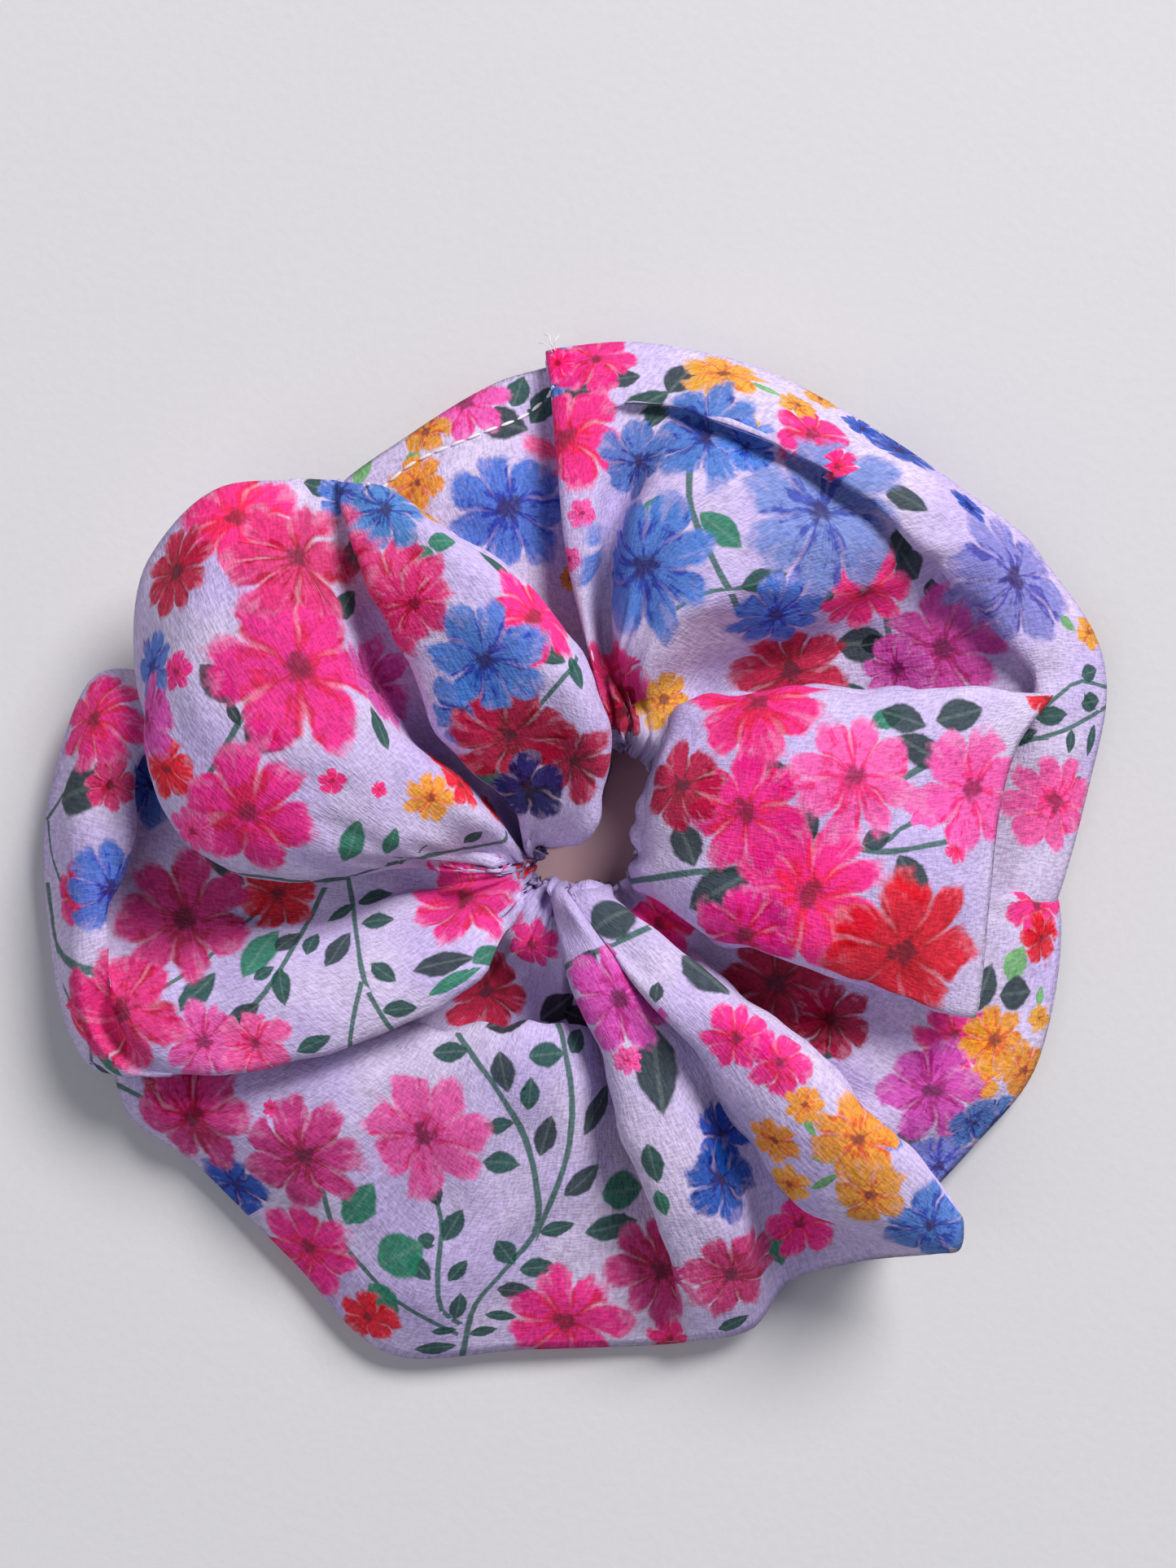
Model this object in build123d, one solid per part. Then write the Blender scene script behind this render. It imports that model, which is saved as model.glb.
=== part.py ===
"""A gathered chiffon scrunchie: a cloth tube closed to a ring round a loop of sewn elastic.

The ring stretches along X.  The one cover, the one elastic loop and the one long seam are each
divided at x = 0, so that the pulled half can slide away from the held half.
Origin: centre of the hair opening, on the surface the scrunchie lies on.  +Z is up.
"""
from build123d import *
from math import cos, degrees, hypot, pi, radians, sin
import os

# Driving dimensions, in millimetres and degrees
cover_reach = 66.0          # from the ring's centre to the fullest pleats
cover_height = 30.0         # highest pleat above the surface it lies on
cloth_wall = 0.9            # the cloth with its small gathers and creases
edge_height = 7.0           # mid-height of the tube's outer fold
edge_shoulder = 6.0         # from the outer fold in to where the cloth starts to rise
elastic_loop = 90.0         # length of the relaxed elastic, once round
elastic_width = 6.0
elastic_thickness = 1.2
elastic_mid_height = 9.5
elastic_clearance = 0.3     # between the elastic and the gathers that hold it
lap_length = 11.0           # how far the elastic's two ends lie over each other
lap_direction = 205.0       # where the lap is, seen from the ring's centre
side_gather = 6.0           # bunched cloth inside the elastic, along X
end_gather = 4.0            # bunched cloth inside the elastic, along Y
half_gap = 0.15             # each half stops this far from the x = 0 plane
thread = 0.4                # needle and bobbin thread together
stitch_pitch = 2.3
needle_share = 0.1          # of a stitch's pitch, left at each end where the thread goes under
elastic_stitches = 9        # zigzag legs on each face of the lap
closing_direction = 97.0    # where the seam that closes the tube to a ring is
topstitch_span = (105.0, 131.0)   # where the turning gap is sewn shut

# Ribs round the ring: direction, reach as a share of cover_reach, rise as a share of cover_height
held_ribs = [
    (90, 0.90, 0.70), (97, 0.88, 0.62), (105, 0.85, 0.60), (114, 0.83, 0.66), (122, 0.81, 0.80),
    (131, 0.82, 0.93), (143, 0.93, 1.00), (158, 0.90, 0.93), (171, 1.00, 0.80), (187, 1.04, 0.72),
    (204, 1.06, 0.76), (220, 1.00, 0.80), (235, 0.99, 0.66), (249, 1.06, 0.60), (260, 1.02, 0.66),
    (270, 1.00, 0.70),
]
pulled_ribs = [
    (270, 1.00, 0.70), (276, 1.00, 0.77), (285, 1.01, 0.86), (298, 1.03, 0.96), (312, 1.00, 0.90),
    (325, 0.96, 0.80), (339, 0.92, 0.84), (353, 0.88, 0.90), (368, 0.96, 0.86), (381, 1.00, 0.72),
    (395, 0.97, 0.70), (409, 0.94, 0.80), (424, 0.89, 0.88), (434, 0.90, 0.82), (442, 0.90, 0.75),
    (450, 0.90, 0.70),
]

elastic_inside = elastic_loop / (2 * pi) - elastic_thickness / 2
elastic_low = elastic_mid_height - elastic_width / 2
elastic_high = elastic_mid_height + elastic_width / 2
under_cut = 1.0             # the sections reach this far below the floor, and are cut flat on it
huge = 4 * cover_reach


def hole_radius(direction):
    """The oval hair opening that the gathers leave inside the elastic."""
    along_x = (elastic_inside - side_gather)
    along_y = (elastic_inside - end_gather)
    turn = radians(direction)
    return along_x * along_y / hypot(along_y * cos(turn), along_x * sin(turn))


def rib_plane(direction):
    """The upright plane through the ring's axis: its x runs outwards, its y runs up."""
    turn = radians(direction)
    return Plane(origin=(0, 0, 0), x_dir=(cos(turn), sin(turn), 0), z_dir=(sin(turn), -cos(turn), 0))


def tube_points(rib, inset, inner=None):
    """Two rows of points on the tube's section, under and over, moved in from the outer face by inset."""
    direction, reach, rise = rib
    inner = inner or hole_radius(direction) + inset
    outer = cover_reach * reach - inset
    top = cover_height * rise - inset
    floor = inset or -under_cut
    shoulder = outer - edge_shoulder
    body = shoulder - inner
    half_edge = elastic_width / 2 + elastic_clearance
    low = elastic_mid_height - half_edge
    high = elastic_mid_height + half_edge
    under = [
        (inner, low),
        (inner + 0.07 * body, floor + 0.22 * (low - floor)),
        (inner + 0.25 * body, floor),
        (inner + 0.70 * body, floor),
        (shoulder, floor + 0.12 * (edge_height - floor)),
        (outer, edge_height),
    ]
    over = [
        (outer, edge_height),
        (shoulder, edge_height + 0.40 * (top - edge_height)),
        (inner + 0.70 * body, top - 0.16 * (top - edge_height)),
        (inner + 0.38 * body, top),
        (inner + 0.11 * body, high + 0.72 * (top - high)),
        (inner, high),
    ]
    return under, over


def tube_section(rib, inset, inner=None):
    """The section in its rib's plane: one curve under, one back over, and the gathers' upright edge."""
    under, over = tube_points(rib, inset, inner)
    with BuildSketch(rib_plane(rib[0])) as sketch:
        with BuildLine():
            Spline(*under)
            Spline(*over)
            Line(over[-1], under[0])
        make_face()
    return sketch.sketch


def half_box(side):
    """Everything on one side of the cut between the halves, above the floor."""
    place = Pos(side * (half_gap + huge / 2), 0, huge / 2)
    return place * Box(huge, huge, huge)


def cover_half(ribs, side):
    """Half of the cloth tube, hollow round the elastic, with its underside flat on the floor."""
    cloth = loft([tube_section(rib, 0) for rib in ribs])
    hollow_inner = elastic_inside - elastic_clearance
    hollow = loft([tube_section(rib, cloth_wall, hollow_inner) for rib in ribs])
    return (cloth - hollow) & half_box(side)


def space_point(rib, place):
    """A place in the rib's plane, as a point in space."""
    across, up = place
    turn = radians(rib[0])
    return Vector(across * cos(turn), across * sin(turn), up)


def row_of_stitches(points, side):
    """Straight stitches end to end along a curve, with a needle hole's width between them."""
    curve = Spline(*points)
    count = round(curve.length / stitch_pitch)
    stitches = []
    for number in range(count):
        start = curve @ ((number + needle_share) / count)
        stop = curve @ ((number + 1 - needle_share) / count)
        if min(side * start.X, side * stop.X) > half_gap + thread:
            along = stop - start
            stitches.append(Solid.make_cylinder(thread / 2, along.length, Plane(start, z_dir=along)))
    return Compound(stitches)


def arc_band(inside, outside, low, high, start=0.0, turn=360.0):
    """An upright band round the ring's axis."""
    with BuildSketch(Plane.XY.offset(low)) as sketch:
        if turn >= 360:
            Circle(outside)
            Circle(inside, mode=Mode.SUBTRACT)
        else:
            with BuildLine():
                inner = CenterArc((0, 0), inside, start, turn)
                outer = CenterArc((0, 0), outside, start, turn)
                Line(inner @ 0, outer @ 0)
                Line(inner @ 1, outer @ 1)
            make_face()
    return extrude(sketch.sketch, high - low)


def elastic_half(side):
    """Half of the flat elastic loop, standing on its edge."""
    outside = elastic_inside + elastic_thickness
    band = arc_band(elastic_inside, outside, elastic_low, elastic_high) & half_box(side)
    lap_turn = degrees(lap_length / outside)
    lap_side = -1 if cos(radians(lap_direction)) < 0 else 1
    if side == lap_side:
        start = lap_direction - lap_turn / 2
        band += arc_band(
            outside, outside + elastic_thickness, elastic_low, elastic_high, start, lap_turn
        )
    return band


def elastic_stitching():
    """Zigzag legs down the lap's outer and inner faces, each leaning the other way to the last."""
    outside = elastic_inside + 2 * elastic_thickness
    lap_turn = degrees(lap_length / outside)
    legs = []
    for face in (elastic_inside, outside):
        for number in range(elastic_stitches):
            share = (number + 0.5) / elastic_stitches - 0.5
            direction = lap_direction + 0.8 * lap_turn * share
            lean = 14 if number % 2 else -14
            place = rib_plane(direction).location * Pos(face, elastic_mid_height, 0)
            legs.append(place * Rot(lean, 0, 0) * Box(thread, 0.7 * elastic_width, thread))
    return Compound(legs)


def long_seam(ribs, side):
    """The seam down the tube, turned in along its outer fold."""
    inset = cloth_wall + thread
    fold = [space_point(rib, tube_points(rib, inset)[0][-1]) for rib in ribs]
    return row_of_stitches(fold, side)


def topstitch(ribs):
    """The line of lockstitch that shuts the turning gap, sunk half in the cloth's upper face."""
    low, high = topstitch_span
    shoulder = [space_point(rib, tube_points(rib, 0)[1][1]) for rib in ribs if low <= rib[0] <= high]
    return row_of_stitches(shoulder, -1)


def closing_seam(ribs):
    """The stitching right round the tube, where its two ends are joined."""
    rib = min(ribs, key=lambda one: abs(one[0] - closing_direction))
    ring = tube_section(rib, -thread / 4) - tube_section(rib, 3 * thread / 4)
    return extrude(ring, thread / 2, both=True) & half_box(-1)


parts = {
    "cover_held_half": cover_half(held_ribs, -1),
    "cover_pulled_half": cover_half(pulled_ribs, 1),
    "elastic_held_half": elastic_half(-1),
    "elastic_pulled_half": elastic_half(1),
    "elastic_join_stitching": elastic_stitching(),
    "long_seam_stitching_held_half": long_seam(held_ribs, -1),
    "long_seam_stitching_pulled_half": long_seam(pulled_ribs, 1),
    "gap_topstitching": topstitch(held_ribs),
    "closing_seam_stitching": closing_seam(held_ribs),
}
os.makedirs("parts", exist_ok=True)
for name, shape in parts.items():
    export_step(shape, f"parts/{name}.step")
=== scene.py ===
from math import ceil, cos, hypot, pi, radians, sin, tau

import bpy
import numpy as np
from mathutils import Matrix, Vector
from mathutils.bvhtree import BVHTree


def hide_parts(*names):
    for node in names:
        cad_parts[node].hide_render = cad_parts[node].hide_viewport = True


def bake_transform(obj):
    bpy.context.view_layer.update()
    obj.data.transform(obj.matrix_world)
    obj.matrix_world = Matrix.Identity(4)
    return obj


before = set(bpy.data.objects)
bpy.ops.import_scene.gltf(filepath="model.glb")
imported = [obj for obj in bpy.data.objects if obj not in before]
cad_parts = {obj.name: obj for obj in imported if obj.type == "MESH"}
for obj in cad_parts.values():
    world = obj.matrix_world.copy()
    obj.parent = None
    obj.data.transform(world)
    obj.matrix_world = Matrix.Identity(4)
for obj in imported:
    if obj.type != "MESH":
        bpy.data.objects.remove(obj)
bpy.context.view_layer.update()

MM = 0.001

# ---------------------------------------------------------------- the cloth's shape, in millimetres
# The tube is lofted through ribs that run from the elastic out to its outer fold.  A rib gives how
# deep the tube hangs below its upper layer, and the points of that upper layer.  Ribs go round
# anticlockwise; where a pleat lies over its neighbour they turn back under it.
BELLY = 40          # deep enough to reach the floor
RIBS = [
    # the gathered pinch beside the closing seam, and the flat back panel with the topstitching
    (BELLY, [(2.5, 10.5, 10), (-0.5, 22, 14), (-3, 33, 15), (-4, 46, 13), (-4.5, 58.5, 7)]),
    (BELLY, [(1, 10.4, 7), (0.5, 22, 8), (0, 34, 7), (-2, 46, 6), (-4, 57, 5)]),
    (BELLY, [(-1, 10, 8), (-4, 21, 9), (-8, 34, 10), (-11, 46, 8), (-12, 54.5, 4)]),
    (BELLY, [(-2.5, 9.5, 8), (-7, 19, 9), (-15, 31, 9), (-20, 42, 8), (-22, 48.5, 4)]),
    (BELLY, [(-4, 8.5, 7), (-8, 16, 6), (-18, 26, 6), (-27, 35, 6), (-32, 41, 3)]),
    # the two rounded lobes that stand up at the upper left
    (BELLY, [(-5, 4, 6), (-4, 10, 6), (-6, 20, 7), (-12, 28, 8), (-22, 36, 8)]),
    (BELLY, [(-6, -3, 8), (0, -1, 16), (1, 14, 22), (-6, 27, 24), (-18, 36, 19)]),
    (BELLY, [(-7, -4, 8), (-4.5, 3.5, 18), (-7, 16, 26), (-15, 29, 27.5), (-25, 40.5, 20)]),
    (BELLY, [(-7.2, -4.2, 8), (-7.5, 3.5, 17.5), (-12.5, 14, 24), (-20, 27, 27), (-28, 40.8, 20)]),
    (BELLY, [(-7.5, -4.5, 8), (-9.5, 2, 14.5), (-16.5, 10, 20), (-23.5, 22.5, 24), (-28.5, 33, 23),
             (-30.5, 41.2, 18)]),
    (BELLY, [(-7.8, -4.8, 6), (-9, 1.5, 8), (-15.5, 10, 11.5), (-22, 21.5, 15), (-27.5, 32.5, 18.5),
             (-30, 41.4, 17)]),
    (BELLY, [(-8, -5, 7), (-10.5, 0.8, 9), (-18.5, 9.5, 12.5), (-26, 19.5, 16.5), (-31, 31.5, 20),
             (-32.5, 41.5, 17)]),
    (BELLY, [(-8.3, -5.3, 9), (-12, -0.5, 17.5), (-21, 7.5, 23.5), (-28.5, 16.5, 27), (-34.5, 28, 28),
             (-36.5, 41.3, 19)]),
    (BELLY, [(-8.5, -5.5, 8), (-20, 0, 22), (-31, 11.5, 28.5), (-40, 25.5, 29), (-44, 40.5, 20)]),
    (BELLY, [(-9, -6, 8), (-24, -3, 21), (-38, 5, 28), (-48, 17, 27), (-53.5, 32, 16)]),
    (BELLY, [(-9, -6, 8), (-22, -5.5, 15), (-38, -7.5, 18), (-48, -3, 19), (-55, 15, 13)]),
    (BELLY, [(-9, -5, 6), (-20, -2, 7), (-34, 0, 8), (-44, 6, 8), (-53, 18, 6)]),
    # the left side: a shadowed hollow inside a raised outer strip, then a smooth sweeping fold
    (BELLY, [(-9, -5.5, 7), (-22, -4, 8), (-36, -2, 7), (-48, 4, 6), (-55, 9.8, 5.5), (-53.4, 8.4, 11.5),
             (-58.5, 13.8, 12), (-62, 17.5, 6)]),
    (BELLY, [(-9, -6, 8), (-23, -8, 9), (-38, -8, 8), (-50, -3.5, 6), (-58, -1.2, 5.5), (-56, -1.8, 12),
             (-61.5, -0.2, 13), (-67.5, 1, 5)]),
    (BELLY, [(-9, -6.5, 8), (-24, -11, 12), (-40, -14, 11), (-53, -13.5, 7.5), (-60.4, -13.4, 7),
             (-58.5, -13.2, 12.5),
             (-62.5, -14.4, 13), (-67, -17, 4)]),
    (BELLY, [(-8.5, -7, 9), (-22, -15, 18), (-37, -20, 17), (-51, -25, 14), (-56.5, -26.3, 12.5), (-58.3, -26.7, 9),
             (-60.1, -27.1, 12), (-64, -28, 5)]),
    (BELLY, [(-8, -8, 9), (-13, -18, 19), (-27, -26, 18), (-42, -30, 15), (-55, -31.5, 11), (-61, -31, 6)]),
    (BELLY, [(-7.5, -8, 6), (-14, -13, 8), (-28, -19, 7), (-42, -23, 6), (-53, -26, 5), (-60, -29, 3)]),
    # the broad flat panel at the lower left, behind a ridge of its own
    (BELLY, [(-7, -8.5, 7), (-16, -16, 7), (-28, -23, 7), (-42, -30, 9), (-53, -35, 8), (-58, -36, 3)]),
    (BELLY, [(-6, -9, 8), (-13, -18, 7.5), (-21.2, -26.4, 8), (-20.4, -24.6, 14), (-25, -29, 15), (-34, -35, 14),
             (-43, -40, 9), (-49, -43, 3)]),
    (BELLY, [(-5, -9.3, 8), (-9, -18, 7.5), (-14, -26.3, 8), (-13.2, -24.4, 16), (-16.5, -30, 17), (-22, -39, 15),
             (-31, -50, 9), (-37, -55, 3)]),
    (BELLY, [(-4, -9.6, 8), (-5, -18, 8), (-7, -26.4, 8.5), (-6.6, -24.5, 17), (-8.5, -30, 18), (-12, -42, 15),
             (-20, -58, 9), (-25, -66.5, 3)]),
    (BELLY, [(-3, -9.8, 8), (-3, -18, 8), (-2.1, -26.4, 9), (-2.2, -24.5, 15), (-2, -30, 16), (-4, -42, 13),
             (-7, -57, 8), (-9, -66, 3)]),
    (BELLY, [(-3.5, -10, 7), (-0.5, -18, 8), (5.5, -28, 8), (9, -43, 8), (11.5, -56, 6), (9, -65.3, 3)]),
    # the twisted fold, whose pointed end hangs clear of the floor at the lower right
    (BELLY, [(-5.5, -8.5, 13), (-3.5, -17, 18), (1.5, -28, 19), (6, -42, 17), (10.5, -55, 12), (13, -64.5, 5)]),
    (BELLY, [(-4, -8.8, 16), (1.5, -17, 20.5), (8, -28, 21), (14, -41, 18), (19, -53, 12), (20.5, -63, 4)]),
    (20, [(-3, -9, 16), (3.5, -17, 19.5), (12, -26.5, 18), (18, -38, 13.5), (22, -49, 10), (25, -57, 5)]),
    (20, [(-2.7, -9, 13), (4.5, -16.5, 17), (15.5, -27, 15), (23, -39, 11), (29, -49, 8), (32, -55, 5)]),
    (6, [(-2.4, -9, 16), (3.8, -16.7, 20.5), (11.5, -25.5, 22.5), (17.5, -36, 20.5), (27, -47, 18.5),
         (42, -52.2, 17)]),
    (6, [(-1.6, -9, 17), (5, -16, 20.5), (15, -25, 24), (24, -36.5, 23.5), (35, -46.5, 21.5), (44.5, -51.6, 18.5)]),
    (5, [(0, -9.1, 17.5), (8, -15.5, 21), (19, -25, 25), (29, -36, 24), (38, -45, 22), (45, -50, 19)]),
    (6, [(1.6, -9.2, 17), (10, -15, 21), (21, -24, 24), (31, -34, 23), (39.5, -42, 22), (45, -48, 19)]),
    (BELLY, [(2.6, -9.4, 8), (9, -17, 10), (18, -26, 9), (27, -36, 7), (35, -43, 6), (41, -48, 4)]),
    # the low band at the lower right
    (BELLY, [(4, -9, 8), (13, -17, 10), (24, -27, 9), (34, -34, 8), (42, -38, 7), (47.5, -41, 3)]),
    (BELLY, [(5.5, -8.5, 8), (17, -15, 10), (30, -22, 9), (41, -27, 9), (50, -30, 7), (55.5, -31, 3)]),
    (BELLY, [(6.5, -7.5, 8), (20, -11, 8), (33, -12.5, 8), (44, -12, 9), (52, -10, 8), (57.5, -8, 3)]),
    (6, [(6.4, -7.8, 8), (18, -10.5, 10), (28, -12.5, 11), (35, -13.5, 11), (40, -14, 11), (44.5, -14.5, 10)]),
    # the square flap that lies on top at the right
    (4, [(6.2, -8, 14), (15, -14, 18), (25, -17, 20), (34, -20, 18.5), (41, -22.5, 15.5), (47, -24, 12.5)]),
    (4, [(7, -3, 17), (17, -6, 22), (28, -8, 24), (37, -9, 22.5), (43.5, -9.5, 19.5), (48.5, -10, 15.5)]),
    (4, [(8, 3, 18.5), (18, 2, 23), (30, 1, 25), (38.5, 1, 23), (45, 1.5, 19.8), (49.8, 2, 16)]),
    (4, [(9.5, 9, 18), (20, 9, 22), (32, 9, 24), (40.5, 9, 22.3), (47, 9.3, 19.5), (52, 9.5, 16)]),
    (4, [(11, 14.5, 15.5), (22, 16, 19), (33, 16, 20), (43, 16, 18.5), (50.5, 15.5, 16.3), (56.5, 15.5, 13.5)]),
    (3, [(10.5, 10, 9), (22, 10, 12), (34, 9, 12), (41, 9, 11.5), (45, 8.7, 10.5), (48.5, 8.5, 9.5)]),
    # the outer band under it, round to the shadowed hollow at the upper right
    (BELLY, [(7, -7, 5), (22, -10, 5), (36, -12, 5), (47, -13, 6), (53, -13, 6), (56.5, -13, 3)]),
    (BELLY, [(7.5, -3, 6), (24, 0, 6), (38, 3, 6), (50, 5, 8), (57, 5.5, 9), (62.3, 4.5, 3)]),
    (BELLY, [(8.5, 1, 6), (24, 8, 6), (38, 12, 6), (50, 15, 7), (56, 16.8, 6.5), (54.5, 16.3, 9.8),
             (59, 17, 9.5), (64.5, 17, 3)]),
    (BELLY, [(9, 6, 7), (20, 17, 7), (33, 21, 7), (44, 22.7, 8), (51.4, 24, 7.5), (49.7, 23.6, 11.8),
             (55.5, 24.6, 11), (62, 25, 4)]),
    (BELLY, [(8, 8, 8), (16, 17.5, 8), (27, 22.5, 8.5), (37.5, 26.5, 10), (45.4, 29.8, 9.5), (43.7, 29, 14.2),
             (50, 31, 14), (57, 32, 4)]),
    # the wide pleat at the upper right, behind a rolled outer fold
    (BELLY, [(7.2, 9.3, 9), (7, 18, 17), (12, 25.5, 20.5), (22, 28, 19.5), (33.5, 32, 14.5), (40.8, 34.6, 12),
             (39.1, 33.8, 16), (45.5, 35.7, 14.5), (52.8, 36.7, 4.5)]),
    (BELLY, [(6.5, 9.6, 10), (6, 20, 18), (12, 28.5, 21.5), (24, 33.5, 19.5), (33.8, 37, 14.5), (36.6, 38.3, 13.6),
             (34.9, 37.4, 17.5), (41.5, 39.4, 15), (47.5, 40.5, 5)]),
    (BELLY, [(5.5, 10, 9), (4.5, 21, 17), (10, 32.5, 20), (19, 39, 19), (26, 42.4, 15), (28.5, 44.1, 14),
             (27, 42.9, 17.5), (32.5, 45.6, 14.5), (38, 47.2, 5)]),
    (BELLY, [(5, 10.2, 9), (3, 22, 15), (5, 35, 18), (9.5, 43.5, 17), (13.2, 48, 13.8), (14.9, 50, 13),
             (13.8, 48.7, 16.1), (18, 52.8, 13), (22, 56, 5)]),
    (BELLY, [(4.5, 10.4, 7), (2, 22, 9), (3, 36, 12), (5, 46, 12.5), (8, 51.9, 10.6), (7.4, 50.6, 13.3),
             (10.5, 54.5, 11.5), (14, 58.2, 6)]),
    (BELLY, [(3.5, 10.5, 9), (0, 22, 14), (-1, 33, 16), (-1, 46, 14), (0, 54, 11), (2, 59.3, 7)]),
]
COLUMNS = 480       # round the ring
UPPER = 52          # quads over the upper layer
LOWER = 48          # quads under it
FLOOR = 0.5         # lowest the cloth lies
CLOTH = 0.25        # thickness of the chiffon
EDGE_REACH = 1.6    # how far the gathers round the elastic stand into the hair opening
EDGE_HEIGHT = 9.5
GATHERS = 58        # fine pleats round the ring
GATHER_DEPTH = 0.42
GATHER_ROOM = (0.04, 0.3)               # rows this close have no room for a pleat; this far apart, all of it
OVER_ELASTIC = (10.2, 12.6, 17.0, 22.0) # radii where the cloth starts and ends its rise, and its fall
OFF_ELASTIC = 0.9   # how far the cloth stays above and below the elastic

# ---------------------------------------------------------------- the elastic inside, in millimetres
ELASTIC_LOOP = 90.0
ELASTIC_WIDTH = 6.0
ELASTIC_THICK = 1.2
ELASTIC_MID = 9.5
LAP_LENGTH = 11.0
LAP_DIRECTION = 205.0
THREAD = 0.34
PITCH = 2.2


# ---------------------------------------------------------------- the print, as it lies on the folded cloth
# Places are in millimetres from the ring's centre, as seen from above, listed under the dye they take.
# (x, y, radius) is a bloom and (x, y, length, direction in degrees, width) a leaf.
BLOOMS = {
    "hot_pink": [
        (-42.5, 36.5, 6.8), (-34.5, 18, 9.5), (-40.5, 1, 7.4), (-6.5, 24.5, 5.8), (-3, 47, 6.2), (0.5, 57, 4.6),
        (2.5, 17.5, 4.6), (27, 47, 4.4), (30, 43, 2.6), (33.5, 28, 5.4), (20, 14.5, 7.8), (18.5, 1.5, 6.4),
        (26, -8.5, 8.2), (18.5, -13.5, 5.6), (8.5, -12.5, 4.4), (17.5, -25.5, 3.8), (22.5, -28.5, 3.6),
        (26, -49.5, 4.0), (-3, -62, 6.8), (-35, -53, 6.0), (-15, -9.5, 6.0), (-63, -9, 4.0), (-61.5, -23, 4.0),
        (-49, 18, 2.2), (-30.5, 5, 1.5), (-25, 4, 0.9), (44, -3, 1.7), (45, -26.5, 4.4), (55.5, -10.5, 4.2),
        (-4, 56.5, 2.4), (10, -64.5, 2.6), (-39, -35, 1.0), (-61, 12.5, 6.0), (-7, -15, 3.0),
    ],
    "rose": [
        (-34.5, 31.5, 7.8), (-23.5, 27.5, 6.2), (-50, -12, 8.0), (-57, -23, 7.0), (-49, -36.5, 6.6),
        (-35, -41, 6.6), (17.5, -55.5, 5.8), (9, -55.5, 6.4), (-58.5, 4.5, 3.0), (-21, 26, 4.2),
    ],
    "magenta": [
        (43.5, 21.5, 6.8), (3.5, -21, 6.2), (42, -33, 5.6), (-26, 16.5, 5.4), (-53, 12.5, 4.8), (38, 19, 4.0),
    ],
    "crimson": [
        (-49.5, 30, 5.2), (-9.5, 10.5, 6.4), (-2, 7.5, 4.6), (25, 18.5, 6.4), (11, 4.5, 5.0), (23, -20, 6.6),
        (29.5, -24.5, 4.4), (-13, -21, 4.8), (-51, -33, 4.4), (4, 13.5, 3.2),
    ],
    "scarlet": [
        (37.5, -15.5, 9.0), (-18.5, 7.5, 1.8), (-15.5, 4.5, 2.6), (-12, 1.5, 2.0), (-27.5, -61.5, 3.6),
        (-50.5, 6.5, 3.4), (-38.5, -9, 4.4), (-7.5, -5, 1.8), (56, -14.5, 3.0), (55.5, 15, 2.4),
    ],
    "light_pink": [
        (31.5, 5.5, 6.6), (46, 4, 6.6), (57.5, 2.5, 5.8), (-20, -38, 7.2), (-15.5, 52, 4.8), (-47, -26.5, 4.4),
        (-40.5, -27, 4.0), (-47.5, -1, 2.8), (-1, 37.5, 1.7), (-2.5, 32, 1.4), (40, 2, 2.4), (4.5, -28.5, 1.6),
    ],
    "blue": [
        (-10, 38.5, 6.6), (-12.5, 19.5, 6.2), (-15, 13.5, 4.0), (-24.5, 37.5, 4.6), (-30, 40, 3.0),
        (14.5, 46.5, 6.4),
        (6, 44, 4.4), (19, 45.5, 3.6), (6.5, 31, 7.8), (22.5, 25, 5.4), (-58.5, -8, 5.0), (-54.5, 4.5, 4.4),
        (-52.5, 18.5, 4.2), (50.5, -37, 3.0), (41, -48.5, 5.0), (35, -36, 3.4), (-3.5, 55.5, 3.2), (49.5, -40, 3.2),
    ],
    "violet": [(28, 37.5, 8.8), (52, 30, 8.0), (43.5, -43, 5.0)],
    "cobalt": [(39, 47, 4.2), (34.5, 50, 2.4), (-44, -45, 4.2), (16, -38, 4.0), (16, -43.5, 4.4), (46.5, 39, 2.6)],
    "navy": [(-7.5, 4, 4.4), (-11.5, -5.5, 2.8)],
    "orange": [
        (-20.5, 48.5, 3.0), (-21.5, 42, 3.4), (-19.5, 37, 1.8), (-2.5, 30, 1.4), (16.5, 55, 4.6), (25.5, 51, 2.4),
        (17.5, 48.5, 2.6), (28.5, 52.5, 2.2), (62, 23.5, 2.2), (50, -27, 3.8), (54, -31, 3.4), (48, -32.5, 2.8),
        (56, -24.5, 1.6), (22, -38, 2.8), (32, -37.5, 5.0), (33.5, -44.5, 3.8), (25.5, -33.5, 2.2),
        (24, -43.5, 2.4), (-19, 3, 2.8), (9, 15, 3.4),
    ],
}
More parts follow.
